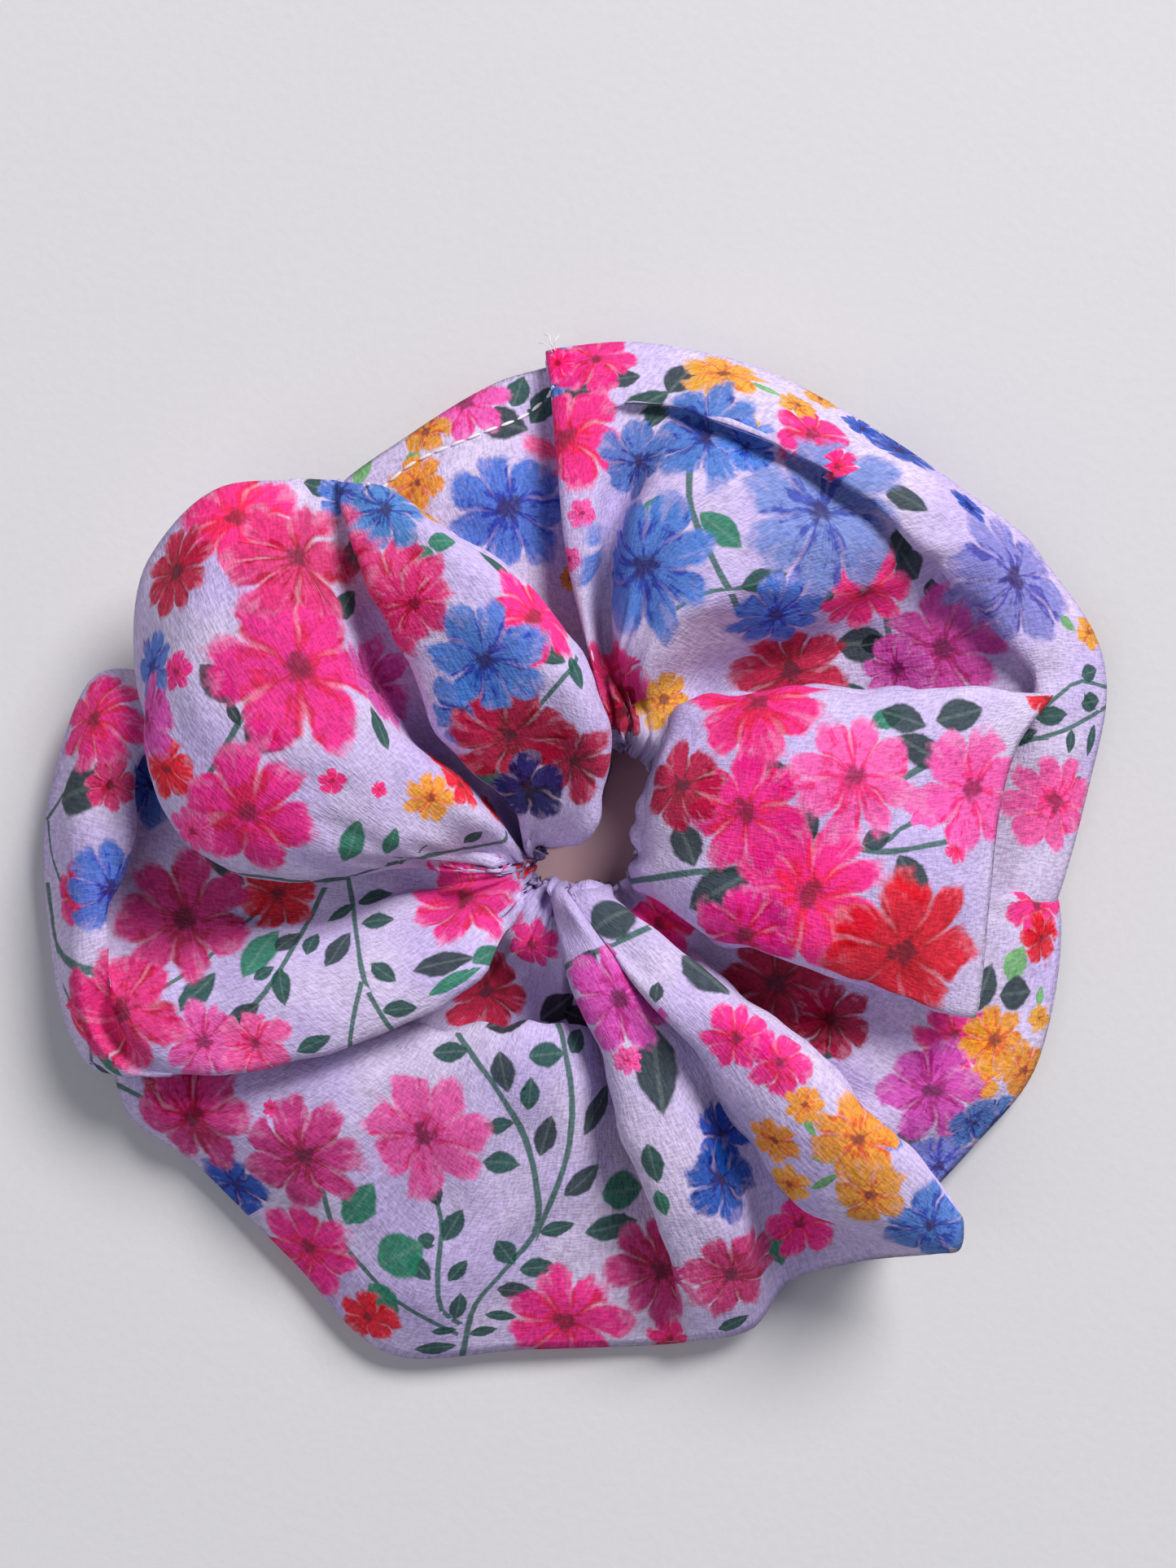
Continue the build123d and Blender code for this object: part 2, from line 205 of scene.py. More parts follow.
LEAVES = {
    "deep_green": [
        (-28.5, 32, 5.2, 80, 2.2), (-29.5, 26, 4.4, 60, 2.4), (-33, 40.5, 3.8, 0, 2.0), (-23, 21.5, 3, -60, 1.6),
        (-25, 11.5, 5.2, -35, 1.8), (-5, 20, 4.6, -20, 1.8), (-1.7, 18, 4, -60, 1.6), (-11, 30.5, 6, -38, 1.2),
        (-9, 53.3, 4, 70, 2.4), (-6, 51.5, 5.4, 60, 2.6), (6.5, 51, 6.5, -15, 2.6), (20.8, 29, 5.8, 15, 2.4),
        (32, 16, 4.6, 0, 2.0), (53.4, 10.4, 3.8, 10, 1.8), (56.7, 13, 4, 5, 2.0), (61.8, 18.4, 3.4, 20, 1.8),
        (62, 14.8, 3.8, 0, 2.0), (59.3, 10, 2.8, -100, 1.4), (62.3, 10.2, 3.8, -110, 1.5), (62.3, 3.5, 4, 30, 1.8),
        (7.5, -41, 5, -75, 2.2), (17.7, -62.3, 4, 20, 1.8), (39.4, -39.3, 4, 60, 2.4), (29, -28, 3, 0, 2.0),
        (-17, -27.8, 4.4, 0, 2.0), (-7.3, -33, 4.2, 85, 1.9), (-11, -36.8, 3.4, 0, 1.8),
        (-11, -41.4, 4.4, -10, 2.4),
        (-5.4, -28, 4.2, 5, 2.4), (-1.7, -26.6, 3.4, 70, 2.2), (-4.2, -50, 4.2, 15, 1.6),
        (-10.5, -52.8, 4, -60, 2.2),
        (-6.6, -55, 4.2, 5, 2.2), (-16.3, -55.2, 3.4, 50, 1.6), (-16.3, -60, 4, 80, 1.8),
        (-11.2, -61.3, 3.8, -10, 1.2),
        (-13.4, -63.4, 3.4, 10, 1.2), (-18.2, -63.2, 3, 0, 1.2), (-19.4, -65.6, 5, 5, 1.6),
        (-16.8, -49.4, 4.4, 60, 2.0),
        (-20, -51.3, 2.4, -10, 1.6), (-21, -54.7, 3.8, -50, 2.0), (2.5, -50, 6.4, 5, 2.8),
        (-34, -14.7, 3.4, 70, 1.7),
        (-37.4, -19.7, 4.6, -80, 1.9), (-39.7, -18.3, 2.8, 30, 1.4), (-26.6, -9.4, 4.2, 15, 1.8),
        (-30.7, -11.4, 3.8, 35, 1.6), (-26, -12, 3.8, 0, 2.2), (-25, -18, 3.8, -40, 1.8), (-23, -22.4, 4, 5, 1.7),
        (-33.5, -26.8, 4.4, 25, 1.6), (-14.2, -1.8, 2.8, 40, 1.4), (-49.8, -32.5, 3, 0, 1.0),
        (-48, -20.8, 6, 45, 2.8),
        (-59.5, 16.7, 3.2, -20, 1.6), (-60.6, -32, 3.6, -10, 1.4), (-12.4, -37, 2.0, 10, 1.2),
    ],
    "leaf_green": [
        (-22, 33.5, 3.2, 20, 2.2), (-17.7, 33.5, 3.2, 0, 2.2), (-20, 31.5, 3.4, -70, 2.4),
        (-12, 5.3, 6.6, -55, 2.6),
        (8.4, 37.8, 4.8, -10, 2.6), (15.6, 35.3, 6, -40, 3.0), (-40.4, -16, 7.4, 60, 3.4), (-12.4, -16, 5, 40, 2.0),
        (-28.4, -2.5, 6, 75, 2.4), (-23.8, -2.5, 4, 70, 1.6), (8.6, -46, 3.4, -70, 1.6), (23.3, -52.4, 5, -80, 2.4),
        (3.8, -45.4, 5.6, 0, 4.0), (-23.5, -53.3, 6.2, 30, 4.8), (-25.7, -59, 5, -50, 3.2),
        (-28.4, -47, 6.6, 60, 3.4),
        (-59.2, -29.8, 4.4, -30, 1.8), (35.3, 12.4, 3.8, 20, 2.2), (-16.5, -19, 6.8, 28, 1.3),
    ],
    "fresh_green": [
        (-22, 45, 2.8, 70, 1.6), (-28.4, 43.6, 4.4, 60, 1.6), (-22, 39.3, 2.8, 60, 1.4),
        (52.6, -17.6, 4.4, 60, 2.8),
        (28.5, -40, 4.6, 10, 1.0), (28, -43, 4.4, 40, 0.9), (26, -36, 3.2, -60, 0.8), (58.8, 24.6, 3.4, -25, 1.2),
        (21.5, 53, 4.2, -15, 0.9), (56, -21.8, 2.4, 80, 1.0),
    ],
    "grey_green": [
        (-44, 16.5, 6, -47, 2.8), (-38.6, 10.2, 5.2, -30, 3.0), (-11, 49.4, 6.0, -15, 3.6),
        (11.3, 54.5, 6, 55, 3.4),
        (-2.5, 53, 6, -8, 2.4), (37.7, 33.7, 5.2, 60, 3.0), (39, 31.5, 4.4, -60, 3.0), (38, 39.4, 6, -25, 2.4),
        (46.2, 39, 5.4, -60, 2.2), (33.6, 22, 6.4, 0, 3.8), (28, 26.6, 4.6, 35, 1.8), (38.7, 20, 2.6, 0, 2.4),
        (42, 28.6, 2.4, 90, 1.6), (37.4, 12.6, 5.2, -20, 3.0), (44.2, 12.9, 6, 15, 3.2), (39.5, 8.7, 6.6, -30, 3.0),
        (22.6, 5.5, 5, -50, 2.4), (25.8, 0.3, 5.2, -80, 2.2), (34, -2, 3.4, 20, 2.0), (11.6, -2.4, 5.4, -70, 3.2),
        (15.3, -8.1, 9, 30, 4.0), (38.4, -6.6, 6.4, -60, 3.2), (48.4, -20.8, 6, 70, 2.8),
        (52.6, -21.3, 4.6, 0, 3.4),
        (2.7, -11.3, 6.4, 30, 4.2), (-0.5, -17, 3.4, 60, 2.4), (13.7, -18, 7, -40, 3.8), (8, -29.4, 10, -82, 4.2),
        (7.9, -20.2, 2.4, 80, 1.4), (-10.5, -30, 4.8, -80, 2.4), (-5.4, -38.2, 5.2, 75, 2.2),
        (0.7, -35.3, 6.4, 50, 2.6),
        (-1, -44, 5.4, 35, 2.4), (-9.3, -58, 4.6, -10, 2.2), (-19.2, -45, 4, -70, 1.8), (-37, -14.6, 4, 45, 2.2),
        (-42.2, -23.4, 4.6, 30, 2.0), (-30.7, -15.6, 5.2, 60, 2.2), (-17.9, -16.9, 7, 10, 2.6),
        (-62.8, 3.8, 8.4, 10, 5.0),
        (-45.4, -5.5, 6.6, -35, 1.8), (4, 54.4, 4, 10, 2.0), (-42, 13, 3.0, -60, 1.2),
    ],
    "black_green": [
        (-9.5, -24.6, 6.4, 5, 2.6), (-4.2, -23, 5, 40, 2.8), (-1.2, -24.2, 4.6, -20, 2.4), (35, 22, 3.0, 10, 2.0),
    ],
}
STEMS = [  # half-width, then the points it passes through
    (0.33, [(-14.8, -27.3), (-11.4, -32), (-8, -38.2), (-6.6, -44), (-6.6, -50), (-10.5, -55.2),
            (-14.3, -60), (-15.8, -66)]),
    (0.32, [(-3.4, -25.6), (-2.2, -33.4), (-2.7, -40.2), (-4.6, -46), (-6.3, -50)]),
    (0.28, [(-19.7, -43.6), (-18.2, -48.9), (-18.7, -55.7), (-18.2, -60.5), (-15.8, -62.5)]),
    (0.28, [(-32.8, -45), (-31.3, -50.8), (-27.4, -55.7), (-24, -59), (-17.7, -63)]),
    (0.28, [(-33, -8.7), (-35.8, -14.6), (-39.4, -20.6), (-43, -24.3)]),
    (0.28, [(-29.8, -7.3), (-28.4, -13.7), (-27, -19.7), (-24.7, -23.8)]),
    (0.26, [(-27.3, -18.3), (-28.4, -22.9), (-28.9, -26)]),
    (0.26, [(-52.8, -20.6), (-47.2, -17), (-41, -11)]),
    (0.30, [(-40.4, -6.4), (-32, -7.1), (-22, -4.5), (-11.4, -2.5)]),
    (0.34, [(-41.5, 11.6), (-44, 7.5), (-46.3, 4)]),
    (0.24, [(-2.2, 18.4), (-6, 14)]),
    (0.36, [(12, 42.5), (12, 38.4), (14.5, 32), (17.2, 27)]),
    (0.22, [(20, 28.4), (14, 27.6), (10.5, 25.8)]),
    (0.34, [(36.7, 24), (38, 16.8)]),
    (0.26, [(50.5, 9.1), (58.2, 11.2), (64.4, 14.2)]),
    (0.22, [(56.7, 14.8), (60.3, 17.3), (64.1, 16.8)]),
    (0.34, [(36.8, 5), (43.2, 8.7)]),
    (0.34, [(26.3, -1.3), (34.2, -3.4), (42.6, -2.3)]),
    (0.28, [(35.8, -1.8), (37.9, -0.2), (42, 0.3)]),
    (0.34, [(5.8, -7.1), (12, -6), (17.9, -5.5)]),
    (0.34, [(-3.7, -17.6), (5.3, -13.4)]),
    (0.26, [(-67.5, 2.3), (-66.5, -4.5), (-64.7, -8.2)]),
    (0.60, [(-67, -10), (-65.6, -16), (-59.6, -18.8)]),
    (0.28, [(-64.2, -22), (-61.5, -27), (-61.5, -31.6), (-57.4, -33.5)]),
]


def spaced(points, count):
    """count + 1 points evenly along a smooth curve through these points."""
    points = np.asarray(points, float)
    knots = np.concatenate([[0], np.cumsum(np.linalg.norm(np.diff(points, axis=0), axis=1) ** 0.7)])
    fine = hermite(knots, points, np.linspace(0, knots[-1], 16 * len(points)))
    run = np.concatenate([[0], np.cumsum(np.linalg.norm(np.diff(fine, axis=0), axis=1))])
    at = np.linspace(0, run[-1], count + 1)
    return np.stack([np.interp(at, run, fine[:, k]) for k in range(3)], 1)


def hermite(knots, values, at, period=None):
    """A smooth curve through values at knots, each of which may be a whole row of points."""
    values = np.asarray(values, float)
    shape = (-1,) + (1,) * (values.ndim - 1)
    if period:
        gap = np.diff(np.append(knots, period))
        secant = (np.roll(values, -1, axis=0) - values) / gap.reshape(shape)
        gap_back = np.roll(gap, 1)
        weight = (gap_back / (gap + gap_back)).reshape(shape)
        slope = np.roll(secant, 1, axis=0) * (1 - weight) + secant * weight
        low = np.clip(np.searchsorted(knots, at % period, side="right") - 1, 0, len(values) - 1)
        at = at % period
        high = (low + 1) % len(values)
    else:
        gap = np.diff(knots)
        secant = np.diff(values, axis=0) / gap.reshape(shape)
        slope = np.concatenate([secant[:1], (secant[1:] + secant[:-1]) / 2, secant[-1:]])
        low = np.clip(np.searchsorted(knots, at, side="right") - 1, 0, len(knots) - 2)
        high = low + 1
    width = gap[low].reshape(shape)
    t = ((at - knots[low]) / gap[low]).reshape(shape)
    return (
        (2 * t**3 - 3 * t**2 + 1) * values[low]
        + (t**3 - 2 * t**2 + t) * width * slope[low]
        + (3 * t**2 - 2 * t**3) * values[high]
        + (t**3 - t**2) * width * slope[high]
    )


def rib_loop(depth, over):
    """One rib's whole section: out over the upper layer, and back under the lower one."""
    over = np.asarray(over, float)
    start = over[0].copy()
    start[:2] -= EDGE_REACH * start[:2] / np.linalg.norm(start[:2])
    start[2] = EDGE_HEIGHT
    upper = spaced(np.vstack([start, over]), UPPER)
    under = [(x, y, max(FLOOR, z - depth)) for x, y, z in over[::-1][1:]]
    lower = spaced(np.vstack([over[-1], under, start]), LOWER)
    return np.vstack([upper[:-1], lower[:-1]])


def cloth_grid():
    """Rows of points round the ring, how far along the strip each row is, and the strip's length."""
    loops = np.array([rib_loop(depth, over) for depth, over in RIBS])
    outer_part = slice(UPPER // 3, UPPER + 1)
    step = np.linalg.norm(np.roll(loops, -1, axis=0) - loops, axis=2)[:, outer_part].mean(1)
    knots = np.concatenate([[0], np.cumsum(step)[:-1]])
    length = step.sum()
    along = np.arange(COLUMNS) * length / COLUMNS
    return hermite(knots, loops, along, period=length), along, length


def step_up(value, low, high):
    """0 below low, 1 above high, and smooth between."""
    t = np.clip((value - low) / (high - low), 0, 1)
    return t * t * (3 - 2 * t)


def grid_normals(points):
    """Outward unit normals of a tube closed both ways."""
    along = np.roll(points, -1, axis=0) - np.roll(points, 1, axis=0)
    across = np.roll(points, -1, axis=1) - np.roll(points, 1, axis=1)
    normal = np.cross(across, along)
    return normal / np.maximum(np.linalg.norm(normal, axis=2, keepdims=True), 1e-9)


def soft_waves(place, seed, shortest, longest, count=14):
    """Smooth uneven waves over places on the cloth, about -1 to 1."""
    rng = np.random.default_rng(seed)
    total = np.zeros(place.shape[:-1])
    for _ in range(count):
        turn = rng.uniform(0, tau)
        wave = tau / rng.uniform(shortest, longest)
        along = place[..., 0] * cos(turn) + place[..., 1] * sin(turn)
        total += np.sin(wave * along + rng.uniform(0, tau))
    return total / (count / 2) ** 0.5 / 1.4


def gather_over_elastic(points):
    """Lift the upper layer over the elastic, hold the lower one under it, and pleat both finely."""
    radius = np.hypot(points[..., 0], points[..., 1])
    direction = np.arctan2(points[..., 1], points[..., 0])
    near = step_up(radius, *OVER_ELASTIC[:2]) * (1 - step_up(radius, *OVER_ELASTIC[2:]))
    over = ELASTIC_MID + ELASTIC_WIDTH / 2 + OFF_ELASTIC
    under = ELASTIC_MID - ELASTIC_WIDTH / 2 - OFF_ELASTIC
    upper = np.arange(points.shape[1]) <= UPPER
    height = points[..., 2]
    rise = np.where(upper[None, :], np.maximum(over - height, 0), np.minimum(under - height, 0))
    points[..., 2] += near * rise
    rows = np.arange(COLUMNS)[:, None] / COLUMNS
    wobble = 0.9 * np.sin(tau * 7 * rows + 1.3) + 0.6 * np.sin(tau * 17 * rows + 4.0)
    pleat = np.sin(tau * GATHERS * rows + 3 * wobble)
    room = np.linalg.norm(np.roll(points, -2, axis=0) - np.roll(points, 2, axis=0), axis=2) / 4
    room = sum(np.roll(room, shift, axis=0) for shift in range(-4, 5)) / 9
    depth = GATHER_DEPTH * step_up(room, *GATHER_ROOM)
    fade = (1 - step_up(radius, 11.0, 25.0)) * (0.55 + 0.45 * np.sin(tau * 5 * rows + 0.7))
    points[..., 2] += np.where(upper[None, :], 1.0, 0.3) * depth * fade * pleat
    inner_edge = 0.5 * depth * (1 - step_up(radius, 8.0, 13.0)) * pleat
    points[..., 0] += inner_edge * np.cos(direction)
    points[..., 1] += inner_edge * np.sin(direction)
    return points


grid, strip_place, strip_length = cloth_grid()
grid = gather_over_elastic(grid)
round_step = np.linalg.norm(np.roll(grid, -1, axis=1) - grid, axis=2)
tube_place = np.concatenate([[0], np.cumsum(round_step.mean(0))])
cloth_place = np.stack(np.broadcast_arrays(strip_place[:, None], tube_place[None, :-1]), -1)
normals = grid_normals(grid)

# soft creases, left out beside the closing seam and along the outer fold
from_seam = np.minimum(np.arange(COLUMNS), COLUMNS - np.arange(COLUMNS))
seam_fade = 1 - np.exp(-(from_seam / 6.0) ** 2)
edge_fade = 1 - np.exp(-((np.arange(UPPER + LOWER) - UPPER) / 4.0) ** 2)
soft = 0.5 * soft_waves(cloth_place, 3, 13, 34) + 0.2 * soft_waves(cloth_place, 8, 5, 11)
grid += normals * (soft * seam_fade[:, None] * edge_fade[None, :])[..., None]

# the last millimetre above the floor is eased, so that nothing goes through it
above_floor = grid[..., 2] - FLOOR
grid[..., 2] = FLOOR + np.where(above_floor > 1, above_floor, np.exp(np.minimum(above_floor - 1, 0)))
normals = grid_normals(grid)


def grid_faces(rows, ring, flip=False):
    """Quads of a tube closed both ways, with faces pointing out, or in when flipped."""
    r, c = np.meshgrid(np.arange(rows), np.arange(ring), indexing="ij")
    right, up = (r + 1) % rows, (c + 1) % ring
    corners = [r * ring + c, r * ring + up, right * ring + up, right * ring + c]
    if flip:
        corners = corners[::-1]
    return np.stack(corners, -1).reshape(-1, 4)


def new_piece(name, verts, faces, edges=()):
    """A smooth mesh piece from millimetre points, linked to the scene."""
    mesh = bpy.data.meshes.new(name)
    faces = np.asarray(faces).tolist()
    mesh.from_pydata((np.asarray(verts, float) * MM).tolist(), list(edges), faces)
    mesh.update()
    if faces:
        mesh.shade_smooth()
    piece = bpy.data.objects.new(name, mesh)
    bpy.context.scene.collection.objects.link(piece)
    return piece


ROWS, RING = grid.shape[:2]
outer_faces = grid_faces(ROWS, RING)
skin = BVHTree.FromPolygons(grid.reshape(-1, 3).tolist(), outer_faces.tolist())
middle = grid.reshape(-1, 3)[outer_faces].mean(1).reshape(ROWS, RING, 3)

# ---------------------------------------------------------------- laying the print on the cloth
OFF_PRINT = 3.0     # a place this far out is clear of any bloom, leaf or stem
CLEAR = 1.6         # faces further from an item than this many of its radii don't belong to it
BLOOM_SIZE = 1.4    # a bloom's patch in its radii, because its petals end inside the patch
SEEN_CROWD = {"bloom": 1.12, "leaf": 1.05}      # how near two items on one screen may be, in radii
HIDDEN_CROWD = {"bloom": 1.35, "leaf": 1.3}
STEM_STEP = 1.6     # millimetres between the places a stem is laid through
STEM_JUMP = 5       # a longer step goes from one fold to another, and isn't printed
STEM_PATCH = 2.0    # radius of the patch round each place on a stem
STEM_SPREAD = 1.3   # how far the dye spreads past the drawn stem


class PrintLayer:
    """One screen of the print: which item each face of the cloth belongs to, and where on the item it is."""

    def __init__(self):
        self.nearest = np.full((ROWS, RING), CLEAR)
        self.place = np.full((ROWS, RING, 4, 3), OFF_PRINT)
        self.dye = np.zeros((ROWS, RING, 4, 3))

    def room(self, patch):
        """How far the nearest item already here is from the patch's own item."""
        inside = patch["far"] < 1.05
        if not inside.any():
            return CLEAR
        return self.nearest[np.ix_(patch["rows"], patch["cols"])][inside].min()

    def lay(self, patch, mark, dye):
        rows, cols = np.ix_(patch["rows"], patch["cols"])
        wins = patch["far"] < self.nearest[rows, cols]
        r = np.broadcast_to(rows, wins.shape)[wins]
        c = np.broadcast_to(cols, wins.shape)[wins]
        self.nearest[r, c] = patch["far"][wins]
        self.place[r, c, :, :2] = patch["corners"][wins]
        self.place[r, c, :, 2] = mark
        self.dye[r, c] = dye


def spot_on_top(x, y):
    """The topmost cloth at a place seen from above: its point, its row and its place round the tube."""
    hit, _, face, _ = skin.ray_cast(Vector((x, y, 100)), Vector((0, 0, -1)))
    if hit is None:
        hit, _, face, _ = skin.find_nearest(Vector((x, y, 8)))
    return np.array(hit), face // RING, face % RING


def patch_round(centre, row, col, size, turn=0.0):
    """The faces near a spot, with their corners measured along the cloth in the item's own size."""
    step_row = max(np.linalg.norm(grid[(row + 2) % ROWS, col] - grid[row - 2, col]) / 4, 0.12)
    step_col = max(np.linalg.norm(grid[row, (col + 2) % RING] - grid[row, col - 2]) / 4, 0.3)
    reach = 1.7 * max(size)
    half_rows = min(ceil(reach / step_row), 60)
    half_cols = min(ceil(reach / step_col), RING // 3)
    steps_r = np.arange(-half_rows, half_rows + 2)
    steps_c = np.arange(-half_cols, half_cols + 2)
    points = grid[np.ix_((row + steps_r) % ROWS, (col + steps_c) % RING)]
    offset = points - centre
    up = normals[row, col]
    first = np.array([1.0, 0, 0]) - up[0] * up
    if np.linalg.norm(first) < 0.2:
        first = np.array([0, 1.0, 0]) - up[1] * up
    first /= np.linalg.norm(first)
    second = np.cross(up, first)
    flat = np.stack([offset @ first, offset @ second], -1)
    chord = np.linalg.norm(offset, axis=2)
    flat *= (chord / np.maximum(np.linalg.norm(flat, axis=2), 1e-6))[..., None]
    along = np.hypot(steps_r[:, None] * step_row, steps_c[None, :] * step_col)
    folded = chord < 0.35 * along - 1.0
    swing = radians(turn)
    across = flat @ np.array([[cos(swing), -sin(swing)], [sin(swing), cos(swing)]])
    across = across / np.asarray(size)
    across[folded] = OFF_PRINT
    corners = np.stack([across[:-1, :-1], across[:-1, 1:], across[1:, 1:], across[1:, :-1]], 2)
    return {
        "rows": (row + steps_r[:-1]) % ROWS, "cols": (col + steps_c[:-1]) % RING,
        "corners": corners, "far": np.linalg.norm(corners.mean(2), axis=2),
    }


def linear(colour):
    """A colour given in everyday 0 to 255 steps, as linear light."""
    share = np.asarray(colour, float) / 255
    return np.where(share <= 0.04045, share / 12.92, ((share + 0.055) / 1.055) ** 2.4)


# which faces can be seen from above
seen = np.zeros((ROWS, RING), bool)
for row in range(ROWS):
    for col in range(RING):
        up = normals[row, col]
        if up[2] > 0.05:
            above = Vector(middle[row, col] + 0.6 * up)
            seen[row, col] = skin.ray_cast(above, Vector((0, 0, 1)))[0] is None

DYES = {
    "hot_pink": (248, 34, 136), "rose": (216, 50, 124), "magenta": (212, 78, 176), "crimson": (188, 14, 62),
    "scarlet": (232, 22, 42), "light_pink": (244, 90, 172), "blue": (78, 124, 204), "violet": (124, 134, 212),
    "cobalt": (10, 78, 178), "navy": (34, 40, 112), "orange": (238, 160, 40),
    "deep_green": (28, 76, 68), "leaf_green": (38, 118, 92), "fresh_green": (108, 166, 104),
    "grey_green": (40, 60, 62), "black_green": (24, 30, 38),
}
PRINT_SEED = 11
chance = np.random.default_rng(PRINT_SEED)
blooms = [PrintLayer() for _ in range(3)]
leaves = [PrintLayer() for _ in range(2)]
stems = PrintLayer()


def lay_item(kind, layers, patch, mark, dye, hidden):
    """Print an item on the first screen that has room, or else on the roomiest.

    A hidden item keeps off the cloth seen from above, and is left out where no screen has room."""
    if hidden and (seen[np.ix_(patch["rows"], patch["cols"])] & (patch["far"] < 0.95)).any():
        return
    rooms = [layer.room(patch) for layer in layers]
    crowd = (HIDDEN_CROWD if hidden else SEEN_CROWD)[kind]
    roomy = [layer for layer, room in zip(layers, rooms) if room >= crowd]
    if roomy:
        roomy[0].lay(patch, mark, dye)
    elif not hidden:
        layers[int(np.argmax(rooms))].lay(patch, mark, dye)


def print_bloom(dye, centre, row, col, radius, hidden=False):
    petals = 5 + chance.integers(0, 3) + (radius > 5)
    mark = petals + 0.05 + 0.9 * chance.random()
    shade = np.clip(linear(DYES[dye]) * chance.uniform(0.86, 1.12, 3), 0, 1)
    size = BLOOM_SIZE * radius
    patch = patch_round(centre, row, col, (size, size), chance.uniform(0, 360))
    lay_item("bloom", blooms, patch, mark, shade, hidden)


def print_leaf(dye, centre, row, col, length, turn, width, hidden=False):
    shade = linear(DYES[dye]) * chance.uniform(0.85, 1.2)
    patch = patch_round(centre, row, col, (0.6 * length, 0.7 * width), turn)
    lay_item("leaf", leaves, patch, chance.uniform(0, 9), shade, hidden)


for dye, rows in BLOOMS.items():
    for x, y, radius in rows:
        print_bloom(dye, *spot_on_top(x, y), radius)
for dye, rows in LEAVES.items():
    for x, y, length, turn, width in rows:
        print_leaf(dye, *spot_on_top(x, y), length, turn, width)


def print_stem(half_width, points):
    """A thin stem along the cloth through these places."""
    reach = sum(hypot(b[0] - a[0], b[1] - a[1]) for a, b in zip(points, points[1:]))
    line = spaced([(x, y, 0) for x, y in points], max(4, int(reach / STEM_STEP)))
    spots = [spot_on_top(x, y) for x, y, _ in line]
    run = 0.0
    for (start, row, col), (stop, _, _) in zip(spots, spots[1:]):
        length = np.linalg.norm(stop - start)
        if length > STEM_JUMP:
            continue
        patch = patch_round(start, row, col, (STEM_PATCH, STEM_PATCH))
        ahead = stop - start
        up = normals[row, col]
        first = np.array([1.0, 0, 0]) - up[0] * up
        first /= np.linalg.norm(first)
        heading = np.array([ahead @ first, ahead @ np.cross(up, first)])
        heading /= max(np.linalg.norm(heading), 1e-6)
        side = np.array([-heading[1], heading[0]])
        corners = patch["corners"] * STEM_PATCH
        along = corners @ heading
        aside = corners @ side
        beyond = np.clip(np.maximum(-along.mean(2), along.mean(2) - length), 0, None)
        patch["far"] = np.hypot(beyond, aside.mean(2)) / 1.5
        patch["corners"] = np.stack([aside / half_width, run + along], -1)
        stems.lay(patch, 0, 0)
        run += length


for half_width, points in STEMS:
    print_stem(STEM_SPREAD * half_width, points)

# the cloth that can't be seen from above carries the same print at random
unseen = np.argwhere(~seen)
BLOOM_DYES = ["hot_pink", "hot_pink", "rose", "crimson", "light_pink", "light_pink", "blue", "violet", "cobalt",
              "orange", "magenta", "scarlet"]
LEAF_DYES = ["deep_green", "leaf_green", "grey_green", "fresh_green"]
BLOOM_TRIES, LEAF_TRIES = 1500, 1300
for _ in range(BLOOM_TRIES):
    row, col = unseen[chance.integers(len(unseen))]
    radius = chance.uniform(2.6, 8.0)
    dye = BLOOM_DYES[chance.integers(len(BLOOM_DYES))]
    print_bloom(dye, middle[row, col], row, col, radius, hidden=True)
for _ in range(LEAF_TRIES):
    row, col = unseen[chance.integers(len(unseen))]
    if min(layer.nearest[row, col] for layer in blooms) < 1.2:
        continue
    dye = LEAF_DYES[chance.integers(len(LEAF_DYES))]
    length = chance.uniform(3, 6.5)
    turn = chance.uniform(0, 360)
    print_leaf(dye, middle[row, col], row, col, length, turn, 0.42 * length, hidden=True)

# ---------------------------------------------------------------- shader recipes


class Wire:
    """A node's output.  Arithmetic on wires adds Math nodes."""

    def __init__(self, recipe, socket):
        self.recipe, self.socket = recipe, socket

    def math(self, operation, *others):
        values = {number: value for number, value in enumerate((self, *others))}
        return self.recipe.node("ShaderNodeMath", {"operation": operation}, values)

    def __add__(self, other):
        return self.math("ADD", other)

    def __sub__(self, other):
        return self.math("SUBTRACT", other)

    def __mul__(self, other):
        return self.math("MULTIPLY", other)

    def __truediv__(self, other):
        return self.math("DIVIDE", other)

    def __rsub__(self, other):
        return self.recipe.node("ShaderNodeMath", {"operation": "SUBTRACT"}, {0: other, 1: self})

    __radd__, __rmul__ = __add__, __mul__


